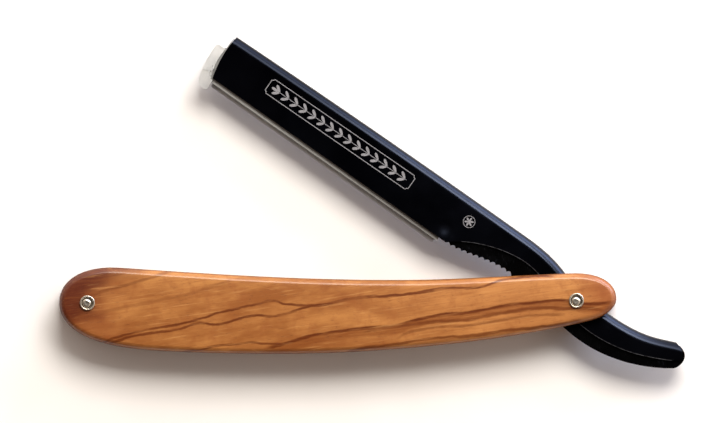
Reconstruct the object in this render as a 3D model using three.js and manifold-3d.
// Straight razor with a folded-sheet blade holder, a clip-in blade insert and two wooden scales.
// Millimetres, +Z up. The razor lies on its side, partly open: Z is its thickness, and X runs
// along the handle from the butt (-X) to the pivot (+X). The origin is on the pivot's axis, at
// the level of the rear pin heads that the razor rests on.
import * as THREE from 'three';
import { mergeVertices } from 'three/addons/utils/BufferGeometryUtils.js';
import Module from 'manifold-3d';

const wasm = await Module();
wasm.setup();

// ---- Driving dimensions ----
const OPEN_ANGLE = 34.6; // degrees between the handle and the holder's spine
const BUTT_PIN = [-112.55, -0.55]; // centre of the pin at the closed end of the handle

const CHANNEL_HALF = 2.3; // half of the gap between the two scales
const SCALE_THICKNESS = 2.8;
const SCALE_ROUNDING = 1.3; // radius along the scales' outer edges
const HANDLE_HALF = CHANNEL_HALF + SCALE_THICKNESS;

const PIN_RADIUS = 0.75;
const PIN_HOLE_RADIUS = 0.85;
const PIN_HEAD_RADIUS = 1;
const PIN_HEAD_RISE = 0.7; // from the scale's face to the flat top of the peened head
const REST_HEIGHT = HANDLE_HALF + PIN_HEAD_RISE; // from the pin heads to the middle plane

const COLLAR_RADIUS = 1.73; // decorative washer under each peened head
const COLLAR_HEIGHT = 0.5;
const COLLAR_RECESS = 0.22; // height of the floor that the pin head sits on
const FACE_GAP = 0.02; // between flat faces that touch on the real razor

const THRUST_RADIUS = 2.8; // thin washers between the tang and the scales
const THRUST_GAP = 0.04;

const HOLDER_HALF = 2; // half of the folded holder's thickness, and its bend's outer radius
const SHEET = 0.55; // thickness of the holder's sheet
const SPINE = 5.55; // height of the straight spine above the pivot
const ABOVE_SPINE = 12; // the top of side views that are cut to the spine's line
const WALL_DEPTH = 12.5; // of the folded sheet before its sides are cut to shape
const CORE_HALF = 1.4; // half of the thickness of the plate inside the tang
const CORE_FRONT = 33.9; // distance from the pivot to the front end of that plate
const JIMP_COUNT = 13; // thumb notches under the tang
const JIMP_DEPTH = 0.55;
const JIMP_STEPS = 4; // straight pieces in the round of each notch

const INSERT_HALF = 1.37;
const TAB_HALF = 1.9;
const BLADE_HALF = 0.1;
const BLADE_SLOT_HALF = 0.15;
const BLADE_TOP = 1.2;
const SLOT_TOP = 1.5;
const INSERT_HEEL = 34.3; // distance from the pivot to the end of the insert
const PEG_PLACES = [48, 66, 84]; // distances of the blade's locating pegs from the pivot
const PEG_HEIGHT = -2.2;
const PEG_RADIUS = 1;
const PEG_HOLE_RADIUS = 1.25;

const CURVE_STEPS = 11; // straight pieces in each stretch of an outline
const BEND_STEPS = 6; // and in the half-round of a bend
const SPINE_STEPS = 60; // and in the whole spine
const ROUND_STEPS = 24; // sides of a small round piece
const WELD = 1e-4;

// ---- Small tools ----

function toSolid(geometry) {
  const bare = geometry.clone();
  bare.deleteAttribute('normal');
  bare.deleteAttribute('uv');
  const merged = mergeVertices(bare, WELD);
  return new wasm.Manifold(new wasm.Mesh({
    numProp: 3,
    vertProperties: new Float32Array(merged.attributes.position.array),
    triVerts: new Uint32Array(merged.index.array),
  }));
}

function toGeometry(solid) {
  const { numProp, vertProperties, triVerts } = solid.getMesh();
  const geometry = new THREE.BufferGeometry();
  geometry.setAttribute('position', new THREE.BufferAttribute(vertProperties, numProp));
  geometry.setIndex(new THREE.BufferAttribute(triVerts, 1));
  geometry.computeVertexNormals();
  return geometry;
}

// A flat plate of the shape, from height low to height high.
function plate(shape, low, high) {
  const options = { depth: high - low, bevelEnabled: false, curveSegments: CURVE_STEPS };
  return toSolid(new THREE.ExtrudeGeometry(shape, options).translate(0, 0, low));
}

function disc(radius, low, high, x = 0, y = 0) {
  const cylinder = new THREE.CylinderGeometry(radius, radius, high - low, ROUND_STEPS);
  return toSolid(cylinder.rotateX(Math.PI / 2).translate(x, y, (low + high) / 2));
}

function block(low, high) {
  const size = high.map((value, i) => value - low[i]);
  const middle = high.map((value, i) => (value + low[i]) / 2);
  return toSolid(new THREE.BoxGeometry(...size).translate(...middle));
}

// A round piece about Z. The profile lists radius and height, upwards on the outside.
function turned(profile) {
  const points = profile.map(([radius, height]) => new THREE.Vector2(radius, height));
  return new THREE.LatheGeometry([...points, points[0]], ROUND_STEPS).rotateX(Math.PI / 2);
}

function mesh(name, geometry, material, x = 0, y = 0) {
  const made = new THREE.Mesh(geometry, material);
  made.name = name;
  made.position.set(x, y, 0);
  return made;
}

// The holder is drawn with the pivot at the origin, its spine up and its toe to the left, so a
// place is given as its distance from the pivot towards the toe and its height.
const at = (distance, height) => new THREE.Vector2(-distance, height);

function curveTo(shape, ...places) {
  const numbers = places.flatMap(([distance, height]) => [-distance, height]);
  shape.bezierCurveTo(...numbers);
}

function lineTo(shape, distance, height) {
  shape.lineTo(-distance, height);
}

// ---- Materials ----

const oliveWood = new THREE.MeshStandardMaterial({ color: 0xc07f48, roughness: 0.45, metalness: 0 });
const blackSheet = new THREE.MeshStandardMaterial({ color: 0x08080b, roughness: 0.3, metalness: 0.4 });
const blackCore = new THREE.MeshStandardMaterial({ color: 0x0a0a0a, roughness: 0.5, metalness: 0.3 });
const clearPlastic = new THREE.MeshStandardMaterial({ color: 0xe4e4da, roughness: 0.4, metalness: 0 });
const bladeSteel = new THREE.MeshStandardMaterial({ color: 0x9a9a96, roughness: 0.3, metalness: 1 });
const nickelSilver = new THREE.MeshStandardMaterial({ color: 0xcfc8b6, roughness: 0.28, metalness: 1 });
const brass = new THREE.MeshStandardMaterial({ color: 0xb58a45, roughness: 0.35, metalness: 1 });
const blackPlastic = new THREE.MeshStandardMaterial({ color: 0x17171a, roughness: 0.55, metalness: 0 });

// ---- Handle ----

// Outline of a scale, anticlockwise from the tip beyond the pivot.
function scaleOutline() {
  const outline = new THREE.Shape();
  outline.moveTo(9.25, 0.3);
  outline.bezierCurveTo(9.25, 4, 5.65, 6.25, 0, 6.25);
  outline.bezierCurveTo(-11.35, 6.05, -26.45, 4.65, -41.55, 4.7);
  outline.bezierCurveTo(-66.1, 4.65, -90.7, 6.6, -105.8, 7.55);
  outline.bezierCurveTo(-112.4, 7.95, -119.05, 5.5, -119.05, -0.55);
  outline.bezierCurveTo(-119.05, -6.6, -111.5, -10.6, -98.25, -11.45);
  outline.bezierCurveTo(-87.85, -12.15, -79.35, -12.3, -68, -12.3);
  outline.bezierCurveTo(-52.9, -12.3, -37.8, -11.15, -22.65, -9.3);
  outline.bezierCurveTo(-15.1, -8.35, -2.85, -6.25, 3.8, -4.45);
  outline.bezierCurveTo(6.5, -3.7, 9.25, -1.8, 9.25, 0.3);
  return outline;
}

// Both scales as one thick rounded plate, before the channel is cut.
function handleBlank() {
  const geometry = new THREE.ExtrudeGeometry(scaleOutline(), {
    depth: 2 * (HANDLE_HALF - SCALE_ROUNDING),
    bevelThickness: SCALE_ROUNDING,
    bevelSize: SCALE_ROUNDING,
    bevelOffset: -SCALE_ROUNDING,
    bevelSegments: 3,
    curveSegments: CURVE_STEPS,
  });
  return toSolid(geometry.translate(0, 0, SCALE_ROUNDING - HANDLE_HALF));
}

function scale(side) {
  const reach = 200; // larger than the handle
  const heights = [side * CHANNEL_HALF, side * 2 * HANDLE_HALF].sort((a, b) => a - b);
  const half = block([-reach, -reach, heights[0]], [reach, reach, heights[1]]);
  const pinHoles = disc(PIN_HOLE_RADIUS, -HANDLE_HALF - 1, HANDLE_HALF + 1)
    .add(disc(PIN_HOLE_RADIUS, -HANDLE_HALF - 1, HANDLE_HALF + 1, ...BUTT_PIN));
  return toGeometry(handleBlank().intersect(half).subtract(pinHoles));
}

// The wedge that keeps the scales apart at the butt, a little inside their outline.
function buttSpacer() {
  const front = -108.6;
  const outline = new THREE.Shape();
  outline.moveTo(front, -7.3);
  outline.lineTo(front, 5.9);
  outline.bezierCurveTo(-114, 6.1, -118, 3.8, -118, -0.55);
  outline.bezierCurveTo(-118, -4.6, -114, -6.7, front, -7.3);
  const half = CHANNEL_HALF - FACE_GAP;
  const hole = disc(PIN_HOLE_RADIUS, -half - 1, half + 1, ...BUTT_PIN);
  return toGeometry(plate(outline, -half, half).subtract(hole));
}

// A pin with both ends peened over: flat in the middle, bevelled round the edge.
function peenedPin() {
  const neck = HANDLE_HALF + COLLAR_RECESS + 2 * FACE_GAP;
  const top = REST_HEIGHT;
  const bevel = 0.25;
  return turned([
    [0, -top],
    [PIN_HEAD_RADIUS - bevel, -top],
    [PIN_HEAD_RADIUS, -top + bevel],
    [PIN_HEAD_RADIUS, -neck],
    [PIN_RADIUS, -neck],
    [PIN_RADIUS, neck],
    [PIN_HEAD_RADIUS, neck],
    [PIN_HEAD_RADIUS, top - bevel],
    [PIN_HEAD_RADIUS - bevel, top],
    [0, top],
  ]);
}

// The dished washer under a pin head: a rounded rim round a lower floor.
function collar(side) {
  const base = HANDLE_HALF + FACE_GAP;
  const profile = [
    [PIN_HOLE_RADIUS, base],
    [COLLAR_RADIUS, base],
    [COLLAR_RADIUS, base + 0.5 * COLLAR_HEIGHT],
    [COLLAR_RADIUS - 0.13, base + 0.85 * COLLAR_HEIGHT],
    [COLLAR_RADIUS - 0.3, base + COLLAR_HEIGHT],
    [COLLAR_RADIUS - 0.42, base + COLLAR_HEIGHT],
    [COLLAR_RADIUS - 0.6, base + COLLAR_RECESS],
    [PIN_HOLE_RADIUS, base + COLLAR_RECESS],
  ];
  const front = turned(profile);
  return side > 0 ? front : front.rotateX(Math.PI);
}

function thrustWasher(side) {
  const near = HOLDER_HALF + THRUST_GAP;
  const far = CHANNEL_HALF - THRUST_GAP;
  const front = turned([
    [PIN_HOLE_RADIUS, near],
    [THRUST_RADIUS, near],
    [THRUST_RADIUS, far],
    [PIN_HOLE_RADIUS, far],
  ]);
  return side > 0 ? front : front.rotateX(Math.PI);
}

// ---- Blade holder ----

// The line of the spine: straight from the toe, over the shoulder, past the pivot to the narrow
// waist, up along the tail and a little past its end.
function spineLine() {
  const line = new THREE.CurvePath();
  const shoulder = at(18.9, SPINE);
  const neck = at(4.7, 3.4);
  const waist = at(-8.5, 1.72);
  const tail = at(-25.5, 5.52);
  line.add(new THREE.LineCurve(at(101, SPINE), shoulder));
  line.add(new THREE.CubicBezierCurve(shoulder, at(13.2, SPINE), at(9, 5.05), neck));
  line.add(new THREE.CubicBezierCurve(neck, at(1.6, 2.19), at(-3.5, 1.72), waist));
  line.add(new THREE.CubicBezierCurve(waist, at(-18.2, 1.72), at(-20.9, 3.84), tail));
  line.add(new THREE.LineCurve(tail, at(-27.6, 6.29)));
  return line;
}

// The same line in space, for sweeping the holder's section along it.
class SpineSweep extends THREE.Curve {
  constructor() {
    super();
    this.line = spineLine();
  }

  getPoint(t, target = new THREE.Vector3()) {
    const flat = this.line.getPoint(t);
    return target.set(flat.x, flat.y, 0);
  }
}

// Half of the outline of a section: up one wall, round the bend and down the other wall.
function overTheBend(section, half) {
  section.moveTo(half, -WALL_DEPTH);
  section.lineTo(half, -HOLDER_HALF);
  section.absarc(0, -HOLDER_HALF, half, 0, Math.PI, false);
  section.lineTo(-half, -WALL_DEPTH);
}

// Section of the folded sheet: a half-round bend with two flat walls hanging from it.
function sheetSection() {
  const inner = HOLDER_HALF - SHEET;
  const section = new THREE.Shape();
  overTheBend(section, HOLDER_HALF);
  section.lineTo(-inner, -WALL_DEPTH);
  section.lineTo(-inner, -HOLDER_HALF);
  section.absarc(0, -HOLDER_HALF, inner, Math.PI, 0, true);
  section.lineTo(inner, -WALL_DEPTH);
  section.closePath();
  return section;
}

// Section of the plate inside the tang, rounded at the top to fill the bend.
function coreSection() {
  const section = new THREE.Shape();
  overTheBend(section, CORE_HALF);
  section.closePath();
  return section;
}

// A section drawn out along the spine and cut to a side view.
function alongSpine(section, sideView) {
  const sweep = new THREE.ExtrudeGeometry(section, {
    steps: SPINE_STEPS,
    extrudePath: new SpineSweep(),
    curveSegments: BEND_STEPS,
  });
  return toSolid(sweep).intersect(plate(sideView, -HOLDER_HALF - 1, HOLDER_HALF + 1));
}

// Side view of the sheet's cut edges. Its top lies above the spine.
function sheetSideView() {
  const view = new THREE.Shape();
  view.moveTo(-98.8, ABOVE_SPINE);
  lineTo(view, 98.8, SPINE);
  view.quadraticCurveTo(-99.65, 0.55, -98.05, -5.45);
  lineTo(view, 32.3, -6.05);
  curveTo(view, [29.3, -3], [21.25, 0.55], [14.65, 0.55]);
  curveTo(view, [8, 0.55], [1.9, -4.25], [-6.6, -4.25]);
  curveTo(view, [-14.8, -4.25], [-21.2, -1.8], [-27.35, 2.1]);
  curveTo(view, [-27.7, 3.4], [-26.8, 4.9], [-24.4, 5.15]);
  lineTo(view, -24.4, ABOVE_SPINE);
  view.closePath();
  return view;
}

function holderShell() {
  const sheet = alongSpine(sheetSection(), sheetSideView());
  return toGeometry(sheet.subtract(disc(PIN_HOLE_RADIUS, -HOLDER_HALF - 1, HOLDER_HALF + 1)));
}

// Thumb notches: scallops between sharp teeth, set along a curve under the tang.
function addJimps(view) {
  const end = at(15.6, -3.75);
  const run = new THREE.CubicBezierCurve(at(CORE_FRONT, -6.1), at(27.5, -6.7), at(22.6, -3.3), end);
  const steps = JIMP_COUNT * JIMP_STEPS;
  for (let i = 0; i < steps; i += 1) {
    const point = run.getPointAt(i / steps);
    const depth = JIMP_DEPTH * Math.sin((Math.PI * (i % JIMP_STEPS)) / JIMP_STEPS);
    view.lineTo(point.x, point.y + depth);
  }
  view.lineTo(end.x, end.y);
}

// Side view of the plate inside the tang. Its top lies above the spine.
function coreSideView() {
  const view = new THREE.Shape();
  view.moveTo(-CORE_FRONT, ABOVE_SPINE);
  addJimps(view);
  curveTo(view, [9.45, -3.95], [1.9, -7.15], [-6.4, -7.15]);
  curveTo(view, [-10.3, -7.15], [-18.6, -6.3], [-27.4, -0.1]);
  curveTo(view, [-28.3, 0.8], [-29.4, 4.3], [-25.6, 4.95]);
  lineTo(view, -25.6, ABOVE_SPINE);
  view.closePath();
  return view;
}

// The plate inside the tang. It shows below the sheet's cut edge and past its end.
function tangCore() {
  const core = alongSpine(coreSection(), coreSideView());
  return toGeometry(core.subtract(disc(PIN_HOLE_RADIUS, -CORE_HALF - 1, CORE_HALF + 1)));
}

// ---- Blade and insert ----

// Section of the insert: two leaves hinged at the top, with the blade's slot between them.
function insertSection() {
  const depth = 9;
  const hinge = SPINE - HOLDER_HALF;
  const section = new THREE.Shape();
  section.moveTo(BLADE_SLOT_HALF, -depth);
  section.lineTo(INSERT_HALF, -depth);
  section.lineTo(INSERT_HALF, hinge);
  section.absarc(0, hinge, INSERT_HALF, 0, Math.PI, false);
  section.lineTo(-INSERT_HALF, -depth);
  section.lineTo(-BLADE_SLOT_HALF, -depth);
  section.lineTo(-BLADE_SLOT_HALF, SLOT_TOP);
  section.lineTo(BLADE_SLOT_HALF, SLOT_TOP);
  section.closePath();
  return section;
}

// Side view of the two leaves, whose lips stand a little out of the holder.
function leavesSideView() {
  const view = new THREE.Shape();
  view.moveTo(-INSERT_HEEL, ABOVE_SPINE);
  lineTo(view, 99.3, ABOVE_SPINE);
  lineTo(view, 99.3, 2.2);
  lineTo(view, 100.5, 1.2);
  lineTo(view, 98.4, -6.42);
  lineTo(view, INSERT_HEEL, -6.9);
  view.closePath();
  return view;
}

// The grip at the toe that the insert is pulled out by.
function tabSideView() {
  const view = new THREE.Shape();
  view.moveTo(-101.2, 1.8);
  view.quadraticCurveTo(-101.8, 1.5, -101.75, 0.7);
  lineTo(view, 101.65, -2);
  lineTo(view, 101.3, -4.35);
  lineTo(view, 100.8, -6.6);
  view.quadraticCurveTo(-100.3, -8.65, -98.3, -8.65);
  lineTo(view, 97.6, -8.3);
  lineTo(view, 97.75, -5.8);
  lineTo(view, 98.4, -5.75);
  view.quadraticCurveTo(-99.85, -2.2, -99.4, 1.8);
  view.closePath();
  return view;
}

function bladeInsert() {
  const length = 110;
  const section = new THREE.ExtrudeGeometry(insertSection(), {
    depth: length,
    bevelEnabled: false,
    curveSegments: BEND_STEPS,
  });
  const leaves = toSolid(section.rotateY(-Math.PI / 2));
  const trimmed = leaves.intersect(plate(leavesSideView(), -HOLDER_HALF, HOLDER_HALF));
  const pegs = PEG_PLACES
    .map((distance) => disc(PEG_RADIUS, -INSERT_HALF / 2, INSERT_HALF / 2, -distance, PEG_HEIGHT))
    .reduce((all, peg) => all.add(peg));
  return toGeometry(trimmed.add(pegs).add(plate(tabSideView(), -TAB_HALF, TAB_HALF)));
}

// A single-edge blade with a hole for each peg.
function blade() {
  const view = new THREE.Shape();
  view.moveTo(-34.9, BLADE_TOP);
  lineTo(view, 97.3, BLADE_TOP);
  lineTo(view, 97.3, -7.25);
  lineTo(view, 34.9, -7.9);
  view.closePath();
  const holes = PEG_PLACES
    .map((distance) => disc(PEG_HOLE_RADIUS, -1, 1, -distance, PEG_HEIGHT))
    .reduce((all, hole) => all.add(hole));
  return toGeometry(plate(view, -BLADE_HALF, BLADE_HALF).subtract(holes));
}

// ---- Assembly ----

function handle() {
  const group = new THREE.Group();
  group.add(
    mesh('front_scale', scale(1), oliveWood),
    mesh('rear_scale', scale(-1), oliveWood),
    mesh('butt_spacer', buttSpacer(), blackPlastic),
    mesh('pivot_pin', peenedPin(), nickelSilver),
    mesh('butt_pin', peenedPin(), nickelSilver, ...BUTT_PIN),
  );
  for (const [side, face] of [[1, 'front'], [-1, 'rear']]) {
    group.add(
      mesh(`pivot_collar_${face}`, collar(side), nickelSilver),
      mesh(`butt_collar_${face}`, collar(side), nickelSilver, ...BUTT_PIN),
      mesh(`thrust_washer_${face}`, thrustWasher(side), brass),
    );
  }
  return group;
}

function bladeHolder() {
  const group = new THREE.Group();
  group.add(
    mesh('holder_shell', holderShell(), blackSheet),
    mesh('tang_core', tangCore(), blackCore),
    mesh('blade_insert', bladeInsert(), clearPlastic),
    mesh('blade', blade(), bladeSteel),
  );
  group.rotation.z = THREE.MathUtils.degToRad(-OPEN_ANGLE);
  return group;
}

const razor = new THREE.Group();
razor.name = 'straight_razor';
razor.add(handle(), bladeHolder());
razor.position.z = REST_HEIGHT;

export default razor;
